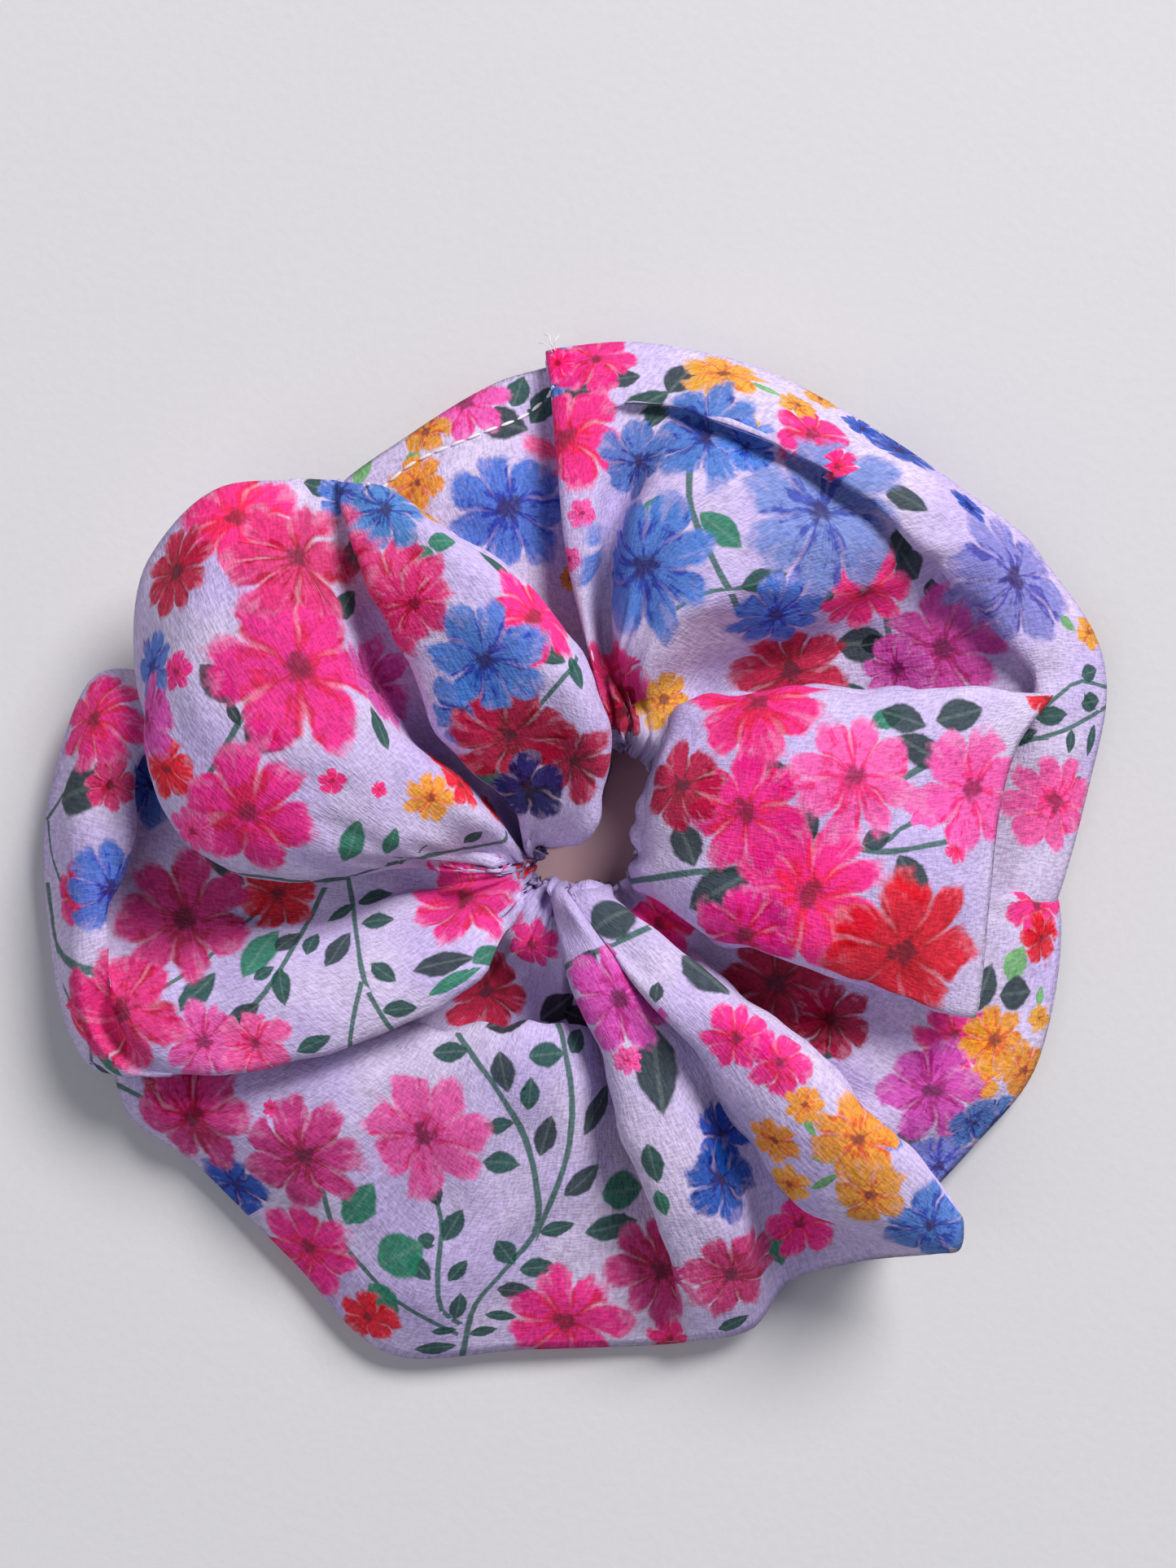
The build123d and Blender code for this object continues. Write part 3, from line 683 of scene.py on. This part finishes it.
class Recipe:
    """A material and the nodes it is made from."""

    def __init__(self, name):
        self.material = bpy.data.materials.new(name)
        self.material.use_nodes = True
        self.tree = self.material.node_tree
        self.tree.nodes.clear()

    def node(self, kind, settings=None, values=None, out=0):
        made = self.tree.nodes.new(kind)
        for name, value in (settings or {}).items():
            setattr(made, name, value)
        for name, value in (values or {}).items():
            if isinstance(value, Wire):
                self.tree.links.new(value.socket, made.inputs[name])
            else:
                made.inputs[name].default_value = value
        return Wire(self, made.outputs[out])

    def between(self, value, low, high, start=0.0, stop=1.0):
        """start where value is low, stop where it is high, and smooth between."""
        return self.node("ShaderNodeMapRange", {"interpolation_type": "SMOOTHSTEP"}, {
            "Value": value, "From Min": low, "From Max": high, "To Min": start, "To Max": stop}, "Result")

    def noise(self, vector, scale, detail=2.0, roughness=0.5):
        return self.node("ShaderNodeTexNoise", None, {
            "Vector": vector, "Scale": scale, "Detail": detail, "Roughness": roughness}, "Fac")

    def stretched(self, vector, size):
        return self.node("ShaderNodeVectorMath", {"operation": "MULTIPLY"}, {0: vector, 1: size})

    def blend(self, share, first, second):
        """A colour between two colours."""
        return self.node("ShaderNodeMix", {"data_type": "RGBA"}, {0: share, 6: first, 7: second}, 2)

    def scaled(self, colour, amount):
        return self.node("ShaderNodeVectorMath", {"operation": "SCALE"}, {0: colour, "Scale": amount})

    def parts(self, vector):
        split = self.node("ShaderNodeSeparateXYZ", None, {0: vector})
        return [Wire(self, output) for output in split.socket.node.outputs]

    def joined(self, x, y, z):
        return self.node("ShaderNodeCombineXYZ", None, {0: x, 1: y, 2: z})

    def attribute(self, name):
        return self.node("ShaderNodeAttribute", {"attribute_name": name}, None, "Vector")

    def finish(self, surface):
        result = self.tree.nodes.new("ShaderNodeOutputMaterial")
        self.tree.links.new(surface.socket, result.inputs["Surface"])
        return self.material


def rgba(colour):
    return (*linear(colour), 1.0)


def bloom_over(recipe, under, number):
    """A painted bloom: ragged petals, darker streaks from the heart, paler tips."""
    place = recipe.attribute(f"bloom_{number}_place")
    dye = recipe.attribute(f"bloom_{number}_dye")
    x, y, mark = recipe.parts(place)
    out = (x * x + y * y).math("SQRT")
    angle = y.math("ARCTAN2", x)
    petals = mark.math("FLOOR")
    own = mark - petals
    spot = recipe.joined(x, y, mark * 7.3)
    loose = recipe.noise(spot, 1.7, 1.0)
    ragged = recipe.noise(spot, 6.5, 2.0)
    petal = (angle * petals * 0.5 + own * 6.28 + (loose - 0.5) * 2.6).math("COSINE").math("ABSOLUTE")
    edge = 0.54 + petal.math("POWER", 0.55) * 0.3 + (loose - 0.5) * 0.45 + (ragged - 0.5) * 0.24
    mask = recipe.between(edge - out, -0.05, 0.08)
    rays = recipe.joined(x / (out + 0.02) * 4.6, y / (out + 0.02) * 4.6, mark * 5.1 + out * 1.3)
    streak = recipe.noise(rays, 1.3, 3.0, 0.62)
    deep = recipe.node("ShaderNodeVectorMath", {"operation": "MULTIPLY"}, {0: dye, 1: dye})
    pooled = recipe.noise(spot, 2.9, 3.0, 0.7)
    wash = recipe.between(streak + (0.42 - out) * 0.45 + (0.5 - petal) * 0.3 + (pooled - 0.5) * 1.1
                          + (ragged - 0.5) * 0.5, 0.44, 0.66)
    colour = recipe.blend(wash * 0.95, dye, deep)
    tips = recipe.between(out - (streak - 0.5) * 1.6 + (ragged - 0.5) * 0.7 - (pooled - 0.5) * 0.8, 0.6, 1.0)
    colour = recipe.blend(tips * 0.5, colour, recipe.blend(0.45, dye, rgba((250, 208, 240))))
    gap = (1 - recipe.between(petal + (ragged - 0.5) * 0.3, 0.06, 0.34)) * recipe.between(out, 0.16, 0.42)
    colour = recipe.blend(gap * pooled * 0.7, colour, recipe.blend(0.6, dye, rgba((252, 214, 240))))
    heart = recipe.between(0.17 - out + (ragged - 0.5) * 0.34, -0.02, 0.1)
    colour = recipe.blend(heart * 0.85, colour, recipe.scaled(recipe.blend(0.4, deep, rgba((96, 40, 70))), 0.45))
    return recipe.blend(mask * 0.96, under, colour)


def leaf_over(recipe, under, number):
    """A painted leaf with a pale midrib and an uneven edge."""
    place = recipe.attribute(f"leaf_{number}_place")
    dye = recipe.attribute(f"leaf_{number}_dye")
    x, y, mark = recipe.parts(place)
    wide = y.math("ABSOLUTE")
    uneven = recipe.noise(recipe.joined(x, y * 0.6, mark), 3.2, 2.0)
    mask = recipe.between(1.0 - x * x * (1.15 - x * 0.15) - wide + (uneven - 0.5) * 0.35, -0.04, 0.2)
    midrib = (1 - recipe.between(wide, 0.03, 0.16)) * 0.2
    colour = recipe.scaled(dye, 0.62 + uneven * 0.85)
    colour = recipe.blend(midrib, colour, recipe.blend(0.5, dye, rgba((190, 214, 200))))
    return recipe.blend(mask * 0.95, under, colour)


def chiffon():
    """Printed crepe chiffon: lilac-white ground, leaves, stems and blooms, over crinkled threads, with painted
    light and shade on the crinkles.
    """
    recipe = Recipe("printed_crepe_chiffon")
    cloth_uv = recipe.node("ShaderNodeUVMap", {"uv_map": "cloth"}, None, "UV")
    body = recipe.node("ShaderNodeTexCoord", None, None, "Object")
    cloud = recipe.noise(body, 62.0, 2.0)
    bleed = recipe.noise(body, 150.0, 3.0)
    ground = recipe.blend(recipe.between(cloud, 0.35, 0.65), rgba((206, 188, 240)), rgba((224, 210, 245)))
    ground = recipe.blend(recipe.between(bleed, 0.55, 0.8) * 0.3, ground, rgba((188, 172, 232)))
    u, v, _ = recipe.parts(recipe.attribute("stem_place"))
    stem_mask = 1 - recipe.between(u.math("ABSOLUTE") + (bleed - 0.5) * 0.7, 0.62, 1.15)
    colour = recipe.blend(stem_mask * 0.92, ground, rgba((62, 104, 96)))
    for number in range(len(leaves)):
        colour = leaf_over(recipe, colour, number)
    for number in range(len(blooms)):
        colour = bloom_over(recipe, colour, number)
    warp = recipe.noise(recipe.stretched(cloth_uv, (2.9, 0.8, 1)), 1.0, 2.0, 0.6)
    weft = recipe.noise(recipe.stretched(cloth_uv, (1.0, 3.1, 1)), 1.0, 2.0, 0.6)
    crinkle = warp * 0.6 + weft * 0.4
    # painted highlight and shade: the print is lightened where the crinkle bump stands up and darkened where it
    # sinks
    light = recipe.between(crinkle, 0.36, 0.64)
    colour = recipe.scaled(colour, 0.73 + light * 0.42)
    pucker = recipe.noise(recipe.stretched(cloth_uv, (0.34, 0.2, 1)), 1.0, 2.0)
    bump = recipe.node("ShaderNodeBump", None, {
        "Height": crinkle + pucker * 0.8, "Strength": 0.7, "Distance": 0.0004})
    surface = recipe.node("ShaderNodeBsdfPrincipled", None, {
        "Base Color": colour, "Roughness": 0.66 + crinkle * 0.2, "Normal": bump,
        "Sheen Weight": 0.03, "Sheen Roughness": 0.45, "Sheen Tint": (1.0, 0.93, 0.98, 1.0),
        "Specular IOR Level": 0.1})
    through = recipe.node("ShaderNodeBsdfTranslucent", None, {"Color": (0.86, 0.62, 0.78, 1.0)})
    paleness = recipe.node("ShaderNodeRGBToBW", None, {0: colour})
    return recipe.finish(recipe.node("ShaderNodeMixShader", None, {0: paleness * 0.27, 1: surface, 2: through}))


def thread_finish(name, colour):
    """Spun thread: a slight twist and sheen."""
    recipe = Recipe(name)
    body = recipe.node("ShaderNodeTexCoord", None, None, "Object")
    twist = recipe.noise(recipe.stretched(body, (1, 1, 2)), 5200.0, 1.0)
    shade = recipe.blend(twist, rgba(colour), rgba([0.86 * c for c in colour]))
    bump = recipe.node("ShaderNodeBump", None, {"Height": twist, "Strength": 0.5, "Distance": 0.00006})
    surface = recipe.node("ShaderNodeBsdfPrincipled", None, {
        "Base Color": shade, "Roughness": 0.5 + twist * 0.2, "Normal": bump, "Sheen Weight": 0.3})
    return recipe.finish(surface)


def elastic_finish():
    """Braided off-white elastic: fine covered cords crossed by tighter rows, with painted shade where the rows
    sink.
    """
    recipe = Recipe("braided_elastic")
    run = recipe.node("ShaderNodeUVMap", {"uv_map": "cloth"}, None, "UV")
    rows = recipe.node("ShaderNodeTexWave", {"wave_type": "BANDS", "bands_direction": "X"}, {
        "Vector": run, "Scale": 0.55, "Distortion": 1.2, "Detail": 2.0}, "Fac")
    fibre = recipe.noise(recipe.stretched(run, (1.2, 7.0, 1)), 1.0, 3.0)
    # painted shade: darker where the braid's rows and fibres sink in the bump, lighter where they stand up
    painted_braid_shade = recipe.between(rows * 0.6 + fibre * 0.4, 0.2, 0.8)
    shade = recipe.blend(painted_braid_shade, rgba((206, 200, 192)), rgba((244, 241, 235)))
    bump = recipe.node("ShaderNodeBump", None, {
        "Height": rows * 0.7 + fibre * 0.5, "Strength": 0.6, "Distance": 0.0002})
    surface = recipe.node("ShaderNodeBsdfPrincipled", None, {
        "Base Color": shade, "Roughness": 0.7 + fibre * 0.2, "Normal": bump, "Sheen Weight": 0.15})
    return recipe.finish(surface)


# ---------------------------------------------------------------- the cloth cover
inner = grid - normals * CLOTH
outer_count = ROWS * RING
verts = np.concatenate([grid.reshape(-1, 3), inner.reshape(-1, 3)])
faces = np.concatenate([outer_faces, grid_faces(ROWS, RING, flip=True) + outer_count])
cover = new_piece("chiffon_cover", verts, faces)
corner_total = 4 * len(faces)


def on_corners(name, outer_values, rest):
    """Store a value on every face corner: the print outside, and rest on the cloth's inner side."""
    values = np.full((corner_total, 3), rest, np.float32)
    values[:4 * outer_count] = outer_values.reshape(-1, 3)
    layer = cover.data.attributes.new(name, "FLOAT_VECTOR", "CORNER")
    layer.data.foreach_set("vector", values.ravel())


for kind, layers in (("bloom", blooms), ("leaf", leaves)):
    for number, layer in enumerate(layers):
        on_corners(f"{kind}_{number}_place", layer.place, OFF_PRINT)
        on_corners(f"{kind}_{number}_dye", layer.dye, 0.5)
on_corners("stem_place", stems.place, OFF_PRINT)
row_marks = np.append(strip_place, strip_length)
corner_u = np.stack([row_marks[:-1], row_marks[:-1], row_marks[1:], row_marks[1:]], 1)
corner_v = np.stack([tube_place[:-1], tube_place[1:], tube_place[1:], tube_place[:-1]], 1)
cloth_uv = np.empty((ROWS, RING, 4, 2), np.float32)
cloth_uv[..., 0] = corner_u[:, None, :]
cloth_uv[..., 1] = corner_v[None, :, :]
back_uv = cloth_uv[:, :, ::-1]
uv_layer = cover.data.uv_layers.new(name="cloth")
uv_layer.data.foreach_set("uv", np.concatenate([cloth_uv.reshape(-1), back_uv.reshape(-1)]))
cover.data.materials.append(chiffon())
cover.data.update()

# ---------------------------------------------------------------- the elastic loop, its ends lapped
CORDS = 7
ACROSS = CORDS * 4
AROUND = 260
inside = ELASTIC_LOOP / tau - ELASTIC_THICK / 2
lap_turn = LAP_LENGTH / (inside + ELASTIC_THICK)
begin = radians(LAP_DIRECTION) - lap_turn / 2
turns = begin + np.linspace(0, tau + lap_turn, AROUND + 1)
lifted = step_up(turns, begin + tau - 0.5, begin + tau) * (ELASTIC_THICK + 0.12)
width_place = np.linspace(-0.5, 0.5, ACROSS + 1)
ridge = np.abs(np.sin(pi * CORDS * (width_place + 0.5))) ** 0.7
lean = np.where(np.arange(ACROSS + 1) // 4 % 2, 1, -1)
run_length = turns * inside
braid = 0.07 * np.sin(tau * run_length[:, None] / 1.5 + lean * 1.6)
half = ELASTIC_THICK / 2 * (0.72 + 0.28 * ridge)[None, :] * (1 + braid)
mid_radius = (inside + ELASTIC_THICK / 2 + lifted)[:, None]
z = ELASTIC_MID + ELASTIC_WIDTH * width_place
loop_rings = []
for side, order in ((1, slice(None)), (-1, slice(None, None, -1))):
    radius = (mid_radius + side * half)[:, order]
    loop_rings.append(np.stack([
        radius * np.cos(turns)[:, None], radius * np.sin(turns)[:, None],
        np.broadcast_to(z[order], radius.shape)], -1))
band = np.concatenate(loop_rings, axis=1)
steps, section = band.shape[:2]
r, c = np.meshgrid(np.arange(steps - 1), np.arange(section), indexing="ij")
band_faces = np.stack([
    r * section + c, (r + 1) * section + c,
    (r + 1) * section + (c + 1) % section, r * section + (c + 1) % section], -1).reshape(-1, 4).tolist()
for cap, flip in ((0, 1), (steps - 1, -1)):
    half_section = section // 2
    for j in range(half_section - 1):
        quad = [cap * section + j, cap * section + j + 1,
                cap * section + section - 2 - j, cap * section + section - 1 - j]
        band_faces.append(quad[::flip])
elastic = new_piece("elastic_band", band.reshape(-1, 3), band_faces)
band_uv = elastic.data.uv_layers.new(name="cloth")
corner_vertex = np.empty(len(elastic.data.loops), int)
elastic.data.loops.foreach_get("vertex_index", corner_vertex)
vertex_uv = np.stack([np.repeat(run_length, section), np.tile(np.concatenate([z, z[::-1]]), steps)], 1)
band_uv.data.foreach_set("uv", vertex_uv[corner_vertex].astype(np.float32).ravel())
elastic.data.materials.append(elastic_finish())

# ---------------------------------------------------------------- stitching
white_thread = thread_finish("white_thread", (244, 240, 246))


def stitch_tree():
    """Stitches along an edge line: one thread-thick grain for each, laid end to end."""
    tree = bpy.data.node_groups.new("row_of_stitches", "GeometryNodeTree")
    face = tree.interface
    face.new_socket("Line", in_out="INPUT", socket_type="NodeSocketGeometry")
    for name in ("Pitch", "Stitch length", "Thread"):
        face.new_socket(name, in_out="INPUT", socket_type="NodeSocketFloat")
    face.new_socket("Finish", in_out="INPUT", socket_type="NodeSocketMaterial")
    face.new_socket("Stitches", in_out="OUTPUT", socket_type="NodeSocketGeometry")
    nodes, links = tree.nodes, tree.links
    given, result = nodes.new("NodeGroupInput"), nodes.new("NodeGroupOutput")
    line = nodes.new("GeometryNodeMeshToCurve")
    marks = nodes.new("GeometryNodeCurveToPoints")
    marks.mode = "LENGTH"
    lie = nodes.new("FunctionNodeAlignRotationToVector")
    lie.axis = "Z"
    grain = nodes.new("GeometryNodeMeshUVSphere")
    grain.inputs["Segments"].default_value = 8
    grain.inputs["Rings"].default_value = 6
    grain.inputs["Radius"].default_value = 0.5
    size = nodes.new("ShaderNodeCombineXYZ")
    place = nodes.new("GeometryNodeInstanceOnPoints")
    real = nodes.new("GeometryNodeRealizeInstances")
    finish = nodes.new("GeometryNodeSetMaterial")
    for start, stop in (
        (given.outputs["Line"], line.inputs[0]), (line.outputs[0], marks.inputs[0]),
        (given.outputs["Pitch"], marks.inputs["Length"]), (marks.outputs["Points"], place.inputs["Points"]),
        (marks.outputs["Tangent"], lie.inputs["Vector"]), (lie.outputs[0], place.inputs["Rotation"]),
        (grain.outputs[0], place.inputs["Instance"]), (given.outputs["Thread"], size.inputs[0]),
        (given.outputs["Thread"], size.inputs[1]), (given.outputs["Stitch length"], size.inputs[2]),
        (size.outputs[0], place.inputs["Scale"]), (place.outputs[0], real.inputs[0]),
        (real.outputs[0], finish.inputs[0]), (given.outputs["Finish"], finish.inputs["Material"]),
        (finish.outputs[0], result.inputs[0]),
    ):
        links.new(start, stop)
    return tree


STITCHES = stitch_tree()
JOIN_LEGS = 12      # slants of the zigzag across the elastic's lap


def sewn(name, lines, pitch=PITCH, share=0.84, thread=THREAD):
    """A piece made of stitches along these lines of millimetre points; each is (points, closed)."""
    verts, edges = [], []
    for points, closed in lines:
        base = len(verts)
        verts.extend(np.asarray(points).tolist())
        edges.extend((base + k, base + k + 1) for k in range(len(points) - 1))
        if closed:
            edges.append((len(verts) - 1, base))
    piece = new_piece(name, verts, [], edges)
    sewing = piece.modifiers.new("stitches", "NODES")
    sewing.node_group = STITCHES
    sizes = {"Pitch": pitch * MM, "Stitch length": share * pitch * MM, "Thread": thread * MM,
             "Finish": white_thread}
    for item in STITCHES.interface.items_tree:
        if item.in_out == "INPUT" and item.name in sizes:
            sewing[item.identifier] = sizes[item.name]
    bpy.context.view_layer.update()
    evaluated = piece.evaluated_get(bpy.context.evaluated_depsgraph_get())
    made = bpy.data.meshes.new_from_object(evaluated)
    piece.modifiers.clear()
    piece.data = made
    made.name = name
    made.shade_smooth()
    return piece


def on_cloth(points, count, lift):
    """A line lying on the topmost cloth through these places."""
    line = spaced([(x, y, 0) for x, y in points], count)
    return [spot_on_top(x, y)[0] + (0, 0, lift) for x, y, _ in line]


gap_line = on_cloth([(-26.6, 40.6), (-22.1, 44.3), (-14.3, 47.7), (-8, 50.4), (-4.6, 53.4)], 60, 0.16)
topstitching = sewn("gap_topstitch_row", [(gap_line, False)], thread=0.46)
fold_line = (grid[:, UPPER - 2] + grid[:, UPPER + 2]) / 2
long_seam = sewn("long_seam_stitches", [(fold_line, True)])
closing_line = grid[0] - 0.3 * normals[0]
closing_seam = sewn("closing_seam_stitches", [(closing_line, True)], thread=0.3)
zigzags = []
for face_radius in (inside - 0.06, inside + 2 * ELASTIC_THICK + 0.16):
    share = np.linspace(-0.42, 0.42, JOIN_LEGS * 4 + 1)
    swing = ELASTIC_MID + 0.36 * ELASTIC_WIDTH * (2 / pi) * np.arcsin(np.sin(pi * JOIN_LEGS * share))
    angle = radians(LAP_DIRECTION) + lap_turn * share
    zigzags.append((np.stack([face_radius * np.cos(angle), face_radius * np.sin(angle), swing], 1), False))
join_stitching = sewn("elastic_join_zigzag", zigzags, pitch=1.15, share=0.95)


def strand(points, thick, sides=7):
    """Verts and faces of a thin round thread with closed ends, along a smooth curve through these points."""
    line = spaced(points, 14)
    ahead = np.gradient(line, axis=0)
    ahead /= np.linalg.norm(ahead, axis=1, keepdims=True)
    aside = np.cross(ahead, [0.3, 0.2, 1.0])
    aside /= np.linalg.norm(aside, axis=1, keepdims=True)
    above = np.cross(ahead, aside)
    turn = np.arange(sides) * tau / sides
    ring = (line[:, None] + thick / 2 * (aside[:, None] * np.cos(turn)[None, :, None]
                                         + above[:, None] * np.sin(turn)[None, :, None]))
    faces = [
        [k * sides + j, k * sides + (j + 1) % sides, (k + 1) * sides + (j + 1) % sides, (k + 1) * sides + j]
        for k in range(len(line) - 1) for j in range(sides)]
    faces += [list(range(sides))[::-1], [(len(line) - 1) * sides + j for j in range(sides)]]
    return ring.reshape(-1, 3), faces


def add_strands(piece, strands):
    """Join loose thread ends to a sewn piece."""
    verts = [tuple(v.co) for v in piece.data.vertices]
    faces = [list(p.vertices) for p in piece.data.polygons]
    for points, thick in strands:
        ring, quads = strand(points, thick)
        base = len(verts)
        verts.extend(map(tuple, ring * MM))
        faces.extend([[base + k for k in quad] for quad in quads])
    mesh = bpy.data.meshes.new(piece.name)
    mesh.from_pydata(verts, [], faces)
    mesh.update()
    mesh.shade_smooth()
    mesh.materials.append(white_thread)
    piece.data = mesh


add_strands(closing_seam, [
    ([(-4.3, 58.2, 7.4), (-4.9, 59.2, 8.0), (-5.0, 59.9, 7.7), (-5.6, 60.3, 7.0)], 0.16),
    ([(-4.2, 58.3, 7.3), (-4.3, 59.4, 7.9), (-3.9, 60.0, 7.3), (-3.9, 60.4, 6.6)], 0.13),
    ([(-4.6, 58.0, 7.3), (-5.5, 58.9, 8.1), (-6.3, 59.2, 7.4)], 0.12),
])

# ---------------------------------------------------------------- each piece with its slot and the CAD parts it stands in for: those parts are hidden, and the piece's transform is baked
for piece, slot, nodes in (
    (cover, "cover", ("cover_held_half", "cover_pulled_half")),
    (elastic, "elastic", ("elastic_held_half", "elastic_pulled_half")),
    (join_stitching, "thread", ("elastic_join_stitching",)),
    (long_seam, "thread", ("long_seam_stitching_held_half", "long_seam_stitching_pulled_half")),
    (topstitching, "thread", ("gap_topstitching",)),
    (closing_seam, "thread", ("closing_seam_stitching",)),
):
    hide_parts(*nodes)
    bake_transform(piece)

# ---------------------------------------------------------------- floor, light and camera


def paper():
    """Matt white card with a faint tooth, and a painted pink-brown shade inside the hair opening that stands in for
    the cloth's shadow there and the light the cloth tints pink.
    """
    recipe = Recipe("white_card")
    body = recipe.node("ShaderNodeTexCoord", None, None, "Object")
    tooth = recipe.noise(body, 900.0, 3.0)
    cloud = recipe.noise(body, 9.0, 2.0)
    shade = recipe.blend(tooth * 0.5 + cloud * 0.5, rgba((200, 199, 203)), rgba((210, 209, 212)))
    x, y, _ = recipe.parts(body)
    # painted shade: the card inside the hair opening is darkened to pink-brown, standing in for the cloth's shadow
    # and the pink light coming through it
    opening = 1 - recipe.between((x * x + y * y).math("SQRT"), 0.009, 0.015)
    shade = recipe.blend(opening * 0.75, shade, rgba((184, 132, 140)))
    bump = recipe.node("ShaderNodeBump", None, {"Height": tooth, "Strength": 0.12, "Distance": 0.0003})
    return recipe.finish(recipe.node("ShaderNodeBsdfPrincipled", None, {
        "Base Color": shade, "Roughness": 0.86 + tooth * 0.1, "Normal": bump}))


FLOOR_REACH = 6000
floor = new_piece("floor", [
    (x * FLOOR_REACH, y * FLOOR_REACH, 0) for x, y in ((-1, -1), (1, -1), (1, 1), (-1, 1))], [(0, 1, 2, 3)])
floor.data.materials.append(paper())

# millimetres: the view's width, the place looked straight down at, the camera's height over it, its sensor
VIEW_WIDTH, VIEW_AT, VIEW_FROM, SENSOR = 144.5, (-0.25, 4.65, 10), 450, 36
camera_data = bpy.data.cameras.new("camera")
camera = bpy.data.objects.new("camera", camera_data)
bpy.context.scene.collection.objects.link(camera)
camera_data.sensor_fit = "HORIZONTAL"
camera_data.sensor_width = SENSOR
camera_data.lens = SENSOR * VIEW_FROM / VIEW_WIDTH
camera.location = Vector((VIEW_AT[0], VIEW_AT[1], VIEW_AT[2] + VIEW_FROM)) * MM
bpy.context.scene.camera = camera


def area_light(name, place, size, power, color):
    """A round light this many metres across, aimed at the ring's middle."""
    data = bpy.data.lights.new(name, "AREA")
    data.shape = "DISK"
    data.size = size
    data.energy = power
    data.color = color
    light = bpy.data.objects.new(name, data)
    light.location = place
    light.rotation_euler = (-Vector(place)).to_track_quat("-Z", "Y").to_euler()
    bpy.context.scene.collection.objects.link(light)


area_light("window", (0.85, 1.15, 1.3), 0.9, 47.0, (1.0, 0.985, 0.96))
area_light("fill", (-1.0, -0.5, 1.5), 1.8, 8.5, (0.93, 0.94, 1.0))
world = bpy.data.worlds.new("world")
bpy.context.scene.world = world
world.use_nodes = True
world.node_tree.nodes["Background"].inputs["Color"].default_value = (0.8, 0.82, 0.9, 1)
world.node_tree.nodes["Background"].inputs["Strength"].default_value = 0.2
bpy.context.scene.view_settings.view_transform = "Standard"
